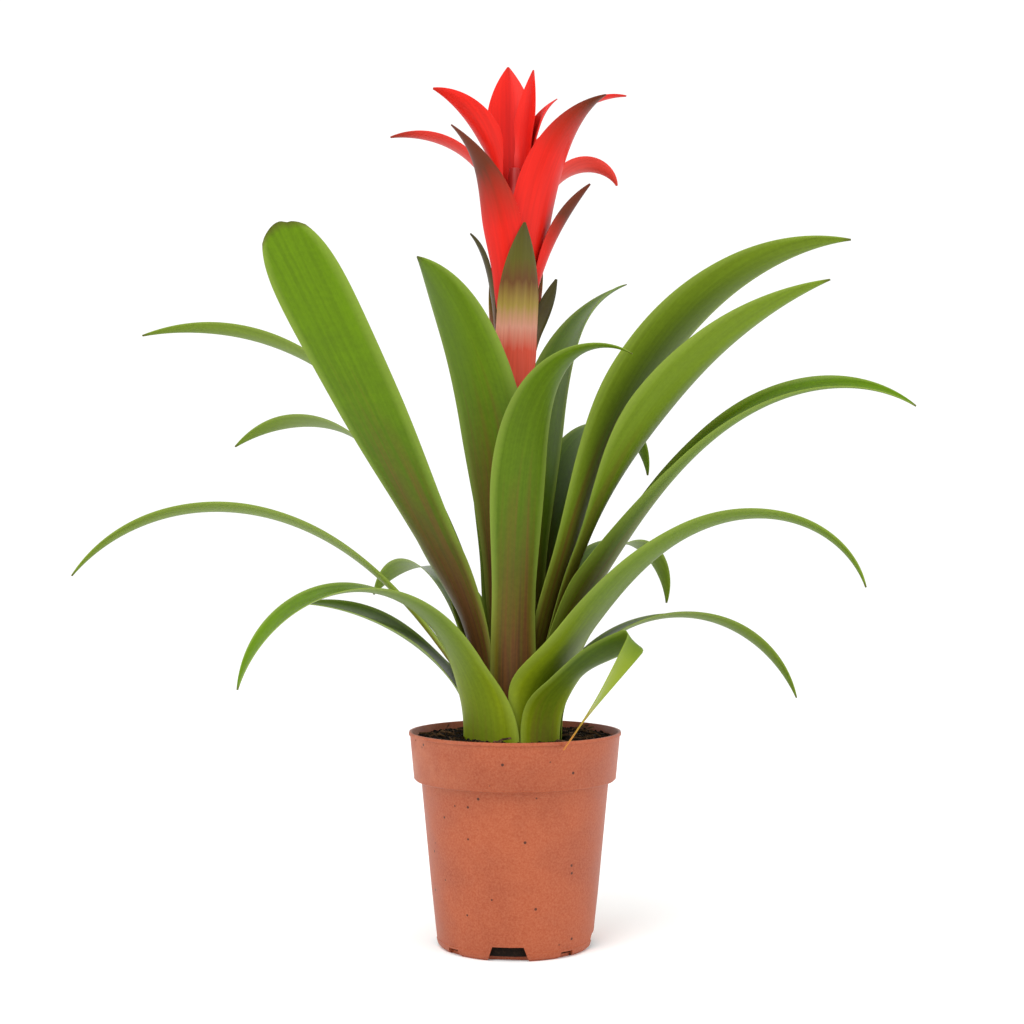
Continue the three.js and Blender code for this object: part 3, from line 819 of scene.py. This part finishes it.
def crease_of(blade, rib):
    """Where a creased leaf folds: a line slanting across it, the way onward and the face it folds to."""
    crease_at = lerp(blade["sheath"], blade["length"], blade["fold"]["at"])
    place, forward, side = frame_at(rib, blade["length"], crease_at)
    face = side.cross(forward)
    slant = Matrix.Rotation(math.radians(-blade["fold"]["slant"]), 3, face)
    return place, slant @ side, slant @ forward, face, math.radians(blade["fold"]["angle"])


def fold_over(point, crease):
    """Bends what lies beyond the crease round a tight curve and back over the blade."""
    place, line, onward, face, angle = crease
    offset = point - place
    beyond = offset.dot(onward)
    if beyond <= 0:
        return point
    turn = min(beyond / CREASE_RADIUS, angle)
    rest = beyond - CREASE_RADIUS * turn
    radius = CREASE_RADIUS - offset.dot(face)
    folded = place + line * offset.dot(line)
    folded += onward * (radius * math.sin(turn) + rest * math.cos(turn))
    return folded + face * (CREASE_RADIUS - radius * math.cos(turn) + rest * math.sin(turn))


def write_mark(mesh, name, values):
    mark = mesh.attributes.new(name, "FLOAT", "POINT")
    mark.data.foreach_set("value", values)


def blade_piece(name, blade, foot, rows, columns, thickness, ripple, marks):
    pick_nothing()
    bpy.ops.mesh.primitive_grid_add(x_subdivisions=columns, y_subdivisions=rows, size=1)
    piece = bpy.context.object
    piece.name = name
    grid = lay_out(blade, foot, rows, columns, ripple)
    along = []
    across = []
    over = []
    thick = piece.vertex_groups.new(name="thick")
    for point in piece.data.vertices:
        i = round((point.co.y + 0.5) * rows)
        j = round((point.co.x + 0.5) * columns)
        point.co = grid[i][j] * MM
        along.append(i / rows)
        across.append(j / columns * 2 - 1)
        over.append(across[-1] * half_width(blade, blade["length"] * along[-1], foot))
        thick.add([point.index], 1 - across[-1] ** 6 * EDGE_THINNING, "REPLACE")
    points = len(along)
    apply_modifier(piece, "SOLIDIFY", thickness=thickness * MM, offset=0, vertex_group="thick",
                   use_quality_normals=True)
    write_mark(piece.data, "along", along * 2)
    write_mark(piece.data, "across", across * 2)
    write_mark(piece.data, "over", over * 2)
    write_mark(piece.data, "run", [share * blade["length"] for share in along] * 2)
    write_mark(piece.data, "outer", [1.0] * points + [0.0] * points)
    for mark, value in marks.items():
        write_mark(piece.data, mark, [value] * (2 * points))
    smooth(piece, 60)
    return piece


# %% [markdown]
# Leaf skin. A guzmania's leaf is satin, with fine lines that run from foot to tip. The green is
# deepest in the lower half. Inner leaves are flushed purple-brown near the foot, in streaks, and keep
# a yellow-green margin there. A light margin runs along both edges, partly the leaf's own and partly
# a painted highlight. Undersides are paler where a leaf spreads out, partly their own greyish green
# and partly painted light for their sheen and for light shining through them. Each leaf carries marks
# for how flushed, pale and fresh it is, so one finish serves them all.

# %% Leaf skin
LEAF_FRESH = paint(84, 116, 0)
LEAF_DEEP = paint(68, 90, 14)
# paler underside green: partly the leaf's own, partly painted light for sheen and light through the leaf
LEAF_PALE = paint(106, 128, 30)
SHEATH_GREEN = paint(122, 136, 10)
FLUSH_BROWN = paint(106, 64, 34)
FLUSH_DARK = paint(82, 52, 32)
# a light edge: partly the leaf's own pale margin, partly a painted highlight
LEAF_MARGIN_AND_HIGHLIGHT = paint(142, 160, 72)
LEAF_YELLOW = paint(126, 142, 34)
LEAF_ORANGE = paint(176, 112, 52)
DARK_TIP = paint(70, 56, 26)

LEAF_LINES = (2.4, 110)         # width and length, in millimetres
LEAF_HAIRLINES = (1.1, 90)
BLOTCH_SCALE = 55
LEAF_GRAIN_SCALE = 480
# Along a leaf from 0 to 1, and across it from 0 at the midrib to 1 at the margin
FRESH_ALONG = (0.35, 0.85)
SHEATH_ALONG = (0.16, 0.4)
SHEATH_ACROSS = (0.3, 0.85)
# the light edge, partly painted highlight
MARGIN_AND_HIGHLIGHT_ACROSS = (0.72, 0.99)
TIP_ALONG = (0.985, 1.0)
FADING_ALONG = (0.54, 0.66)
FLUSH_BLEND = (-0.115, 0.269)   # how gently the flush ends
FLUSH_STREAKS = 0.5             # how far single streaks reach beyond it and fall short of it
FLUSH_MIDDLE = 0.22             # how much further it reaches in the middle


def blade_lines(finish, line_width, line_length):
    """Noise drawn out along the blade: lines as wide and as long as asked, in millimetres."""
    over = sums(finish, "DIVIDE", painted(finish, "over"), line_width)
    run = sums(finish, "DIVIDE", painted(finish, "run"), line_length)
    vector = add(finish, "CombineXYZ", {0: over, 1: run, 2: painted(finish, "number")}).outputs[0]
    return speckle(finish, vector, 1, detail=1.5)


def green_of_leaf(finish, along, edge, outer, blotch):
    """Deep green turning fresh outwards, paler underneath, partly as painted light, with a yellow-green
    sheath.
    """
    wander = sums(finish, "MULTIPLY_ADD", blotch, 0.5, -0.25)
    fresh = ramp(finish, sums(finish, "ADD", along, wander), *FRESH_ALONG)
    colour = mix(finish, product(finish, fresh, painted(finish, "fresh")), LEAF_DEEP, LEAF_FRESH)
    # the outer face is paler: partly its own greyer green, partly painted light
    colour = mix(finish, product(finish, outer, painted(finish, "pale")), colour, LEAF_PALE)
    sheath = ramp(finish, along, *SHEATH_ALONG, 1.0, 0.0)
    sheath = product(finish, sheath, ramp(finish, edge, *SHEATH_ACROSS, 0.5, 1.0))
    return mix(finish, sheath, colour, SHEATH_GREEN)


def flushed(finish, colour, along, edge, lines, hairlines):
    """Adds the purple-brown flush, which reaches up from the foot in streaks."""
    reach = sums(finish, "SUBTRACT", painted(finish, "flush"), along)
    streak = sums(finish, "MULTIPLY_ADD", lines, FLUSH_STREAKS, -FLUSH_STREAKS / 2)
    reach = sums(finish, "ADD", reach, streak)
    falling = product(finish, sums(finish, "POWER", edge, 3.0), FLUSH_MIDDLE)
    reach = sums(finish, "SUBTRACT", reach, falling)
    brown = mix(finish, ramp(finish, hairlines, 0.4, 0.65), FLUSH_BROWN, FLUSH_DARK)
    return mix(finish, ramp(finish, reach, *FLUSH_BLEND, 0.0, 0.95), colour, brown)


def leaf_skin(name, fading):
    finish = new_finish(name)
    place = add(finish, "TexCoord").outputs["Object"]
    along = painted(finish, "along")
    edge = sums(finish, "ABSOLUTE", painted(finish, "across"))
    outer = painted(finish, "outer")
    lines = blade_lines(finish, *LEAF_LINES)
    hairlines = blade_lines(finish, *LEAF_HAIRLINES)
    blotch = speckle(finish, place, BLOTCH_SCALE, detail=3, roughness=0.6)
    grain = speckle(finish, place, LEAF_GRAIN_SCALE, detail=1)
    colour = green_of_leaf(finish, along, edge, outer, blotch)
    colour = flushed(finish, colour, along, edge, lines, hairlines)
    colour = streaked(finish, 0.5, colour, lines, 0.74, 1.06)
    colour = streaked(finish, 0.4, colour, hairlines, 0.76, 1.08)
    colour = streaked(finish, 0.5, colour, grain, 0.88, 1.1)
    # light margin along both edges, partly the leaf's own and partly a painted highlight, and a dark
    # point at the tip
    colour = mix(finish, ramp(finish, edge, *MARGIN_AND_HIGHLIGHT_ACROSS, 0.0, 0.45), colour, LEAF_MARGIN_AND_HIGHLIGHT)
    colour = mix(finish, ramp(finish, along, *TIP_ALONG, 0.0, 0.7), colour, DARK_TIP)
    if fading:
        old = band(finish, along, [
            (0.6, LEAF_PALE), (0.72, LEAF_YELLOW), (0.82, LEAF_YELLOW), (0.97, LEAF_ORANGE),
        ])
        colour = mix(finish, ramp(finish, along, *FADING_ALONG), colour, old)
    # the outer face is less glossy than the inner one
    roughness = sums(finish, "MULTIPLY_ADD", outer, 0.12, 0.26)
    roughness = sums(finish, "MULTIPLY_ADD", hairlines, 0.12, roughness)
    shade(finish, Base_Color=colour, Roughness=roughness, Specular_IOR_Level=0.1,
          Normal=bumps(finish, lines, strength=0.07, distance=0.0003))
    return finish


green_skin = leaf_skin("leaf_skin", False)
fading_skin = leaf_skin("fading_leaf_skin", True)

# %% [markdown]
# The leaves, from the outermost layer of the rosette inwards. Each row holds the values that shape one
# leaf's solid too. Its looks are for the finish: how far up the purple-brown flush reaches, how pale the
# underside is, partly as painted light, and how fresh the green gets towards the tip.

# %% Leaves
LAYER_PITCH = 2.7
LEAF_ROWS = 100
LEAF_COLUMNS = 20
LEAF_STRAIGHT = 12
LEAF_RELEASE = 45
LEAF_RIPPLE = 0.5
LEAF_NOISE_STEP = 3.7       # gives each leaf lines of its own
FADING_LEAF = "leaf_low_front_right"

LEAVES = [
    shape("leaf_low_front_left", layer=0, clasp=230, wrap=45, sheath=62, heading=214, swing=-6,
          length=230, width=32, rise=58, end=-76, bend=1.15, cup=24, roll=-10, point=1.9,
          looks=(0.02, 0.5, 1.0)),
    shape("leaf_low_front_right", layer=0, clasp=302, wrap=26, sheath=55, heading=330, length=172,
          width=17, rise=43, end=-2, bend=0.75, cup=14, roll=-100, point=1.6, neck=1.7,
          fold=dict(at=0.38, slant=-1, angle=130), looks=(0.12, 0.0, 0.5)),
    shape("leaf_low_back", layer=0, clasp=75, wrap=45, sheath=62, heading=80, length=225, width=32,
          rise=50, end=-60, bend=1.1, cup=24, point=2, looks=(0.2, 0.5, 0.6)),
    shape("leaf_low_left", layer=1, clasp=166, wrap=42, sheath=62, heading=177, length=150, width=30,
          rise=43, end=0, bend=1.2, cup=26, roll=-18, point=2, looks=(0.1, 0.4, 0.3)),
    shape("leaf_low_right", layer=1, clasp=28, wrap=29, sheath=65, heading=10, length=217, width=28,
          rise=45, end=-68, bend=1, cup=22, roll=-12, point=2, looks=(0.1, 0.6, 0.8)),
    shape("leaf_front_right", layer=1, clasp=305, wrap=36, sheath=68, heading=336, swing=22, length=272,
          width=34, rise=53, end=-72, bend=2, cup=24, roll=-14, point=1.8, neck=1.65,
          looks=(0.05, 0.5, 0.7)),
    shape("leaf_long_left", layer=2, clasp=186, wrap=32, sheath=65, heading=183, length=314, width=30,
          rise=54, end=-52, bend=1.5, cup=20, roll=18, point=2, looks=(0.32, 0.8, 0.5)),
    shape("leaf_back_left", layer=2, clasp=121, wrap=24, sheath=70, heading=128, length=205, width=30,
          rise=60, end=-45, bend=1.2, cup=24, roll=18, point=2, looks=(0.2, 0.5, 0.5)),
    shape("leaf_back_right", layer=2, clasp=45, wrap=36, sheath=70, heading=44, length=216, width=30,
          rise=68, end=-95, bend=1.7, cup=24, point=2, looks=(0.1, 0.6, 0.6)),
    shape("leaf_heart_front", layer=2, clasp=267, wrap=34, sheath=90, heading=284, swing=69, length=271,
          width=34, rise=82, end=-30, bend=3.3, cup=25, point=3.2, neck=0.74, looks=(0.5, 0.2, 0.6)),
    shape("leaf_left_tall", layer=3, clasp=210, wrap=26, sheath=132, heading=222, swing=-8, length=322,
          width=42, rise=57, end=60, bend=1, cup=16, roll=45, point=9, neck=0.85, tip=8,
          looks=(0.56, 0.1, 1.0)),
    shape("leaf_long_right", layer=3, clasp=350, wrap=35, sheath=105, heading=345, swing=10, length=328,
          width=34, rise=57, end=-33, bend=2.2, cup=46, roll=34, point=2, neck=1.6,
          looks=(0.4, 0.5, 1.0)),
    shape("leaf_back", layer=3, clasp=90, wrap=34, sheath=80, heading=94, length=290, width=34, rise=64,
          end=-40, bend=1.3, cup=24, point=2, looks=(0.2, 0.6, 0.5)),
    shape("leaf_left_arch", layer=3, clasp=154, wrap=22, sheath=85, heading=141, length=340, width=32,
          rise=70.5, end=-26, bend=1.25, cup=22, roll=28, point=2, neck=0.8, looks=(0.3, 0.7, 0.5)),
    shape("leaf_left_thin", layer=4, clasp=160, wrap=42, sheath=90, heading=161, swing=8, length=380,
          width=32, rise=73.5, end=-12, bend=1.4, cup=22, roll=30, point=2, looks=(0.3, 0.9, 0.4)),
    shape("leaf_back_arch", layer=4, clasp=56, wrap=38, sheath=100, heading=48, length=278, width=32,
          rise=80, end=-85, bend=2.2, cup=24, point=2, looks=(0.4, 0.1, 0.4)),
    shape("leaf_right_lower", layer=4, clasp=341, wrap=33, sheath=125, heading=328, length=331, width=44,
          rise=66, end=14, bend=1.3, cup=28, roll=-15, point=2.2, neck=0.3, looks=(0.46, 0.9, 1.0)),
    shape("leaf_right_upper", layer=5, clasp=331, wrap=38, sheath=118, heading=333, length=366, width=48,
          rise=71.5, end=-5, bend=1.9, cup=20, roll=-28, point=2, neck=0.58, looks=(0.44, 1.0, 1.0)),
    shape("leaf_tall_back", layer=5, clasp=118, wrap=48, sheath=105, heading=97, length=240, width=28,
          rise=75, end=38, bend=1.6, cup=24, point=2.2, neck=0.75, looks=(0.4, 0.2, 0.6)),
    shape("leaf_heart_left", layer=6, clasp=262, wrap=60, sheath=110, heading=240, swing=-50, length=290,
          width=44, rise=81, end=52, bend=1.6, cup=20, roll=15, point=8, neck=0.75,
          looks=(0.66, 0.3, 0.9)),
    shape("leaf_heart_back", layer=6, clasp=58, wrap=60, sheath=110, heading=44, swing=-30, length=298,
          width=46, rise=84, end=24, bend=3, cup=26, point=4, neck=0.6, looks=(0.4, 0.0, 0.7)),
]

for number, leaf in enumerate(LEAVES):
    layer_radius = PLANT_RADIUS - LAYER_PITCH * leaf["layer"]
    clasp = math.radians(leaf["clasp"])
    foot = {
        "place": Vector((layer_radius * math.cos(clasp), layer_radius * math.sin(clasp), plant_foot)),
        "lean": 90,
        "straight": LEAF_STRAIGHT,
        "release": LEAF_RELEASE,
    }
    flush, pale, fresh = leaf["looks"]
    marks = {"number": number * LEAF_NOISE_STEP, "flush": flush, "pale": pale, "fresh": fresh}
    piece = blade_piece(leaf["name"] + "_blade", leaf, foot, LEAF_ROWS, LEAF_COLUMNS, BLADE_THICKNESS,
                        LEAF_RIPPLE, marks)
    skin = fading_skin if leaf["name"] == FADING_LEAF else green_skin
    hand_over(piece, skin, "leaf", leaf["name"])
print("leaves:", len(LEAVES))

# %% [markdown]
# Bract skin. The bracts are leaves too, turned red to call birds. The top ones are red all over, some in
# the middle keep a brown tip, and the lowest run from an olive tip through brown and tan to a red foot,
# with a pale pink band above the red that is partly a painted highlight. Two finishes are enough: one
# for the red bracts, one for the banded ones.

# %% Bract skins
BRACT_RED = paint(220, 32, 20)
BRACT_DEEP = paint(176, 14, 14)
# a painted sheen: pale pink laid over the bracts marked pale
BRACT_PINK_SHEEN = paint(214, 96, 84)
BRACT_BROWN = paint(70, 44, 24)
BRACT_UMBER = paint(102, 66, 34)
BRACT_OLIVE = paint(88, 84, 24)
BRACT_TAN = paint(158, 134, 64)
# pale pink where red turns to tan: partly the bract's own blush, partly a painted highlight
BRACT_BLUSH_HIGHLIGHT = paint(216, 150, 128)
BRACT_ROSE = paint(218, 84, 64)
BRACT_SHADE = paint(58, 52, 22)
BRACT_LINES = (2.2, 45)         # width and length, in millimetres
BRACT_HAIRLINES = (1.1, 40)
BROWN_BLEND = 0.133             # half the share of the length over which a bract turns brown


def bract_skin(name, along_colours, tip_colour):
    finish = new_finish(name)
    lines = blade_lines(finish, *BRACT_LINES)
    hairlines = blade_lines(finish, *BRACT_HAIRLINES)
    edge = sums(finish, "ABSOLUTE", painted(finish, "across"))
    wander = sums(finish, "MULTIPLY_ADD", lines, 0.1, -0.05)
    along = sums(finish, "ADD", painted(finish, "along"), wander)
    colour = band(finish, along, along_colours)
    # a painted pink sheen, strongest on the inner face, as far as the bract's pale mark says, and the
    # middle of the blade deeper
    inner = sums(finish, "SUBTRACT", 1.0, painted(finish, "outer"))
    pink_sheen = product(finish, sums(finish, "MULTIPLY_ADD", inner, 0.4, 0.6), painted(finish, "pale"))
    colour = mix(finish, pink_sheen, colour, BRACT_PINK_SHEEN)
    middle = product(finish, ramp(finish, edge, 0.0, 0.7, 0.5, 0.0), inner)
    colour = mix(finish, middle, colour, BRACT_DEEP)
    colour = streaked(finish, 0.4, colour, lines, 0.76, 1.0)
    colour = streaked(finish, 0.3, colour, hairlines, 0.6, 1.0)
    # brown from the tip downwards, as far as the bract's own mark says
    reach = sums(finish, "SUBTRACT", 1.05, painted(finish, "brown"))
    beyond = sums(finish, "SUBTRACT", along, reach)
    browned = ramp(finish, beyond, -BROWN_BLEND, BROWN_BLEND, 0.0, 0.9)
    colour = mix(finish, browned, colour, tip_colour)
    roughness = sums(finish, "MULTIPLY_ADD", hairlines, 0.14, 0.32)
    shade(finish, Base_Color=colour, Roughness=roughness, Specular_IOR_Level=0.14,
          Normal=bumps(finish, lines, strength=0.06, distance=0.0003))
    return finish


red_skin = bract_skin("red_bract_skin", [(0.0, BRACT_DEEP), (0.3, BRACT_RED), (1.0, BRACT_RED)],
                      BRACT_BROWN)
# the pale pink band between rose and tan is partly a painted highlight
banded_skin = bract_skin("banded_bract_skin", [
    (0.0, BRACT_DEEP), (0.18, BRACT_ROSE), (0.34, BRACT_ROSE), (0.46, BRACT_BLUSH_HIGHLIGHT), (0.57, BRACT_TAN),
    (0.7, BRACT_UMBER), (0.82, BRACT_OLIVE), (1.0, BRACT_OLIVE),
], BRACT_SHADE)

# %% [markdown]
# The bracts, from the lowest to the highest. Each clasps the stalk at its own height, so its foot
# starts on the stalk's surface there and leans out at once. The looks of a bract say how far brown
# reaches down from its tip, and how strong the painted pink sheen is, mostly on its inner face.

# %% Bracts
BRACT_THICKNESS = 0.7
BRACT_LEAN = 79
BRACT_STRAIGHT = 4
BRACT_RELEASE = 25
BRACT_ROWS = 50
BRACT_COLUMNS = 14
BRACT_RIPPLE = 0.35
BRACT_NOISE_STEP = 2.3

BRACTS = [
    shape("bract_low_front", foot=298, clasp=275, wrap=70, sheath=34, heading=287, length=106, width=27,
          rise=80, end=80, bend=1, cup=48, point=2.2, tone="dark", looks=(0.12, 0.0)),
    shape("bract_low_back_left", foot=306, clasp=112, wrap=60, sheath=30, heading=108, length=96,
          width=24, rise=82, end=62, bend=1.4, cup=40, point=2, tone="dark", looks=(0.3, 0.0)),
    shape("bract_low_right", foot=313, clasp=358, wrap=60, sheath=24, heading=352, length=64, width=16,
          rise=75, end=72, bend=1.2, cup=42, roll=-60, point=1.6, tone="dark", looks=(0.75, 0.0)),
    shape("bract_low_left", foot=320, clasp=160, wrap=50, sheath=24, heading=160, length=86, width=16,
          rise=82, end=50, bend=3.4, cup=42, roll=40, point=1.8, tone="dark", looks=(0.9, 0.0)),
    shape("bract_low_back_right", foot=328, clasp=62, wrap=60, sheath=30, heading=74, length=80, width=24,
          rise=81, end=52, bend=1.4, cup=40, point=2, tone="dark", looks=(0.3, 0.0)),
    shape("bract_left_front", foot=336, clasp=254, wrap=65, sheath=34, heading=242, swing=-62, length=128,
          width=28, rise=77, end=46, bend=1.6, cup=34, roll=10, point=1.8, neck=0.72, looks=(0.4, 0.0)),
    shape("bract_right_narrow", foot=344, clasp=348, wrap=50, sheath=30, heading=348, length=92, width=14,
          rise=74, end=44, bend=1.4, cup=34, roll=-35, point=2, looks=(0.42, 0.0)),
    shape("bract_right_front", foot=352, clasp=310, wrap=65, sheath=34, heading=315, swing=8, length=137,
          width=35, rise=79, end=14, bend=1.9, cup=34, point=2, looks=(0.25, 0.0)),
    shape("bract_back_left", foot=368, clasp=112, wrap=48, sheath=30, heading=118, length=84, width=20,
          rise=74, end=30, bend=1.6, cup=32, point=1.8),
    shape("bract_right_arch", foot=376, clasp=16, wrap=55, sheath=30, heading=10, length=100, width=22,
          rise=74, end=-70, bend=2, cup=30, roll=-38, point=1.8, looks=(0.0, 0.6)),
    shape("bract_back_right", foot=384, clasp=65, wrap=60, sheath=30, heading=58, length=104, width=24,
          rise=74, end=30, bend=1.6, cup=32, point=1.8),
    shape("bract_left_spread", foot=385, clasp=175, wrap=45, sheath=30, heading=172, length=112, width=22,
          rise=82, end=-8, bend=0.95, cup=30, roll=18, point=1.6, looks=(0.1, 0.3)),
    shape("bract_top_front", foot=385, clasp=278, wrap=40, sheath=26, heading=275, length=28, width=20,
          rise=80, end=62, bend=1.4, cup=36, point=1.8),
    shape("bract_upper_left", foot=398, clasp=205, wrap=42, sheath=30, heading=196, length=98, width=26,
          rise=84, end=12, bend=1.4, cup=30, roll=40, point=1.5, neck=0.5),
    shape("bract_upper_right", foot=398, clasp=25, wrap=55, sheath=28, heading=22, length=118, width=20,
          rise=76, end=5, bend=1.4, cup=30, roll=-15, point=1.6),
    shape("bract_top_left", foot=402, clasp=126, wrap=26, sheath=20, heading=138, length=62, width=14,
          rise=77, end=-60, bend=3, cup=34, point=1.8, looks=(0.0, 0.8)),
    shape("bract_top_back", foot=412, clasp=104, wrap=50, sheath=26, heading=98, length=91, width=30,
          rise=81, end=78, bend=1.4, cup=28, point=2.2, neck=0.72),
    shape("bract_top_right", foot=419, clasp=22, wrap=42, sheath=26, heading=25, length=66, width=20,
          rise=83, end=40, bend=1.4, cup=34, point=1.8, neck=0.6),
    shape("bract_top_narrow", foot=426, clasp=50, wrap=45, sheath=22, heading=36, length=71, width=22,
          rise=83, end=84, bend=1.4, cup=34, point=1.8, neck=0.65),
]

for number, bract in enumerate(BRACTS):
    radius = stem_radius(bract["foot"]) + CLEARANCE + BRACT_THICKNESS
    clasp = math.radians(bract["clasp"])
    foot = {
        "place": Vector((radius * math.cos(clasp), radius * math.sin(clasp), bract["foot"])),
        "lean": BRACT_LEAN,
        "straight": BRACT_STRAIGHT,
        "release": BRACT_RELEASE,
    }
    # pale sets how strong the painted pink sheen is
    brown, pale = bract["looks"]
    marks = {"number": number * BRACT_NOISE_STEP, "brown": brown, "pale": pale}
    piece = blade_piece(bract["name"] + "_blade", bract, foot, BRACT_ROWS, BRACT_COLUMNS, BRACT_THICKNESS,
                        BRACT_RIPPLE, marks)
    if bract["tone"] == "dark":
        hand_over(piece, banded_skin, "bract_dark", bract["name"])
    else:
        hand_over(piece, red_skin, "bract_red", bract["name"])
print("bracts:", len(BRACTS))
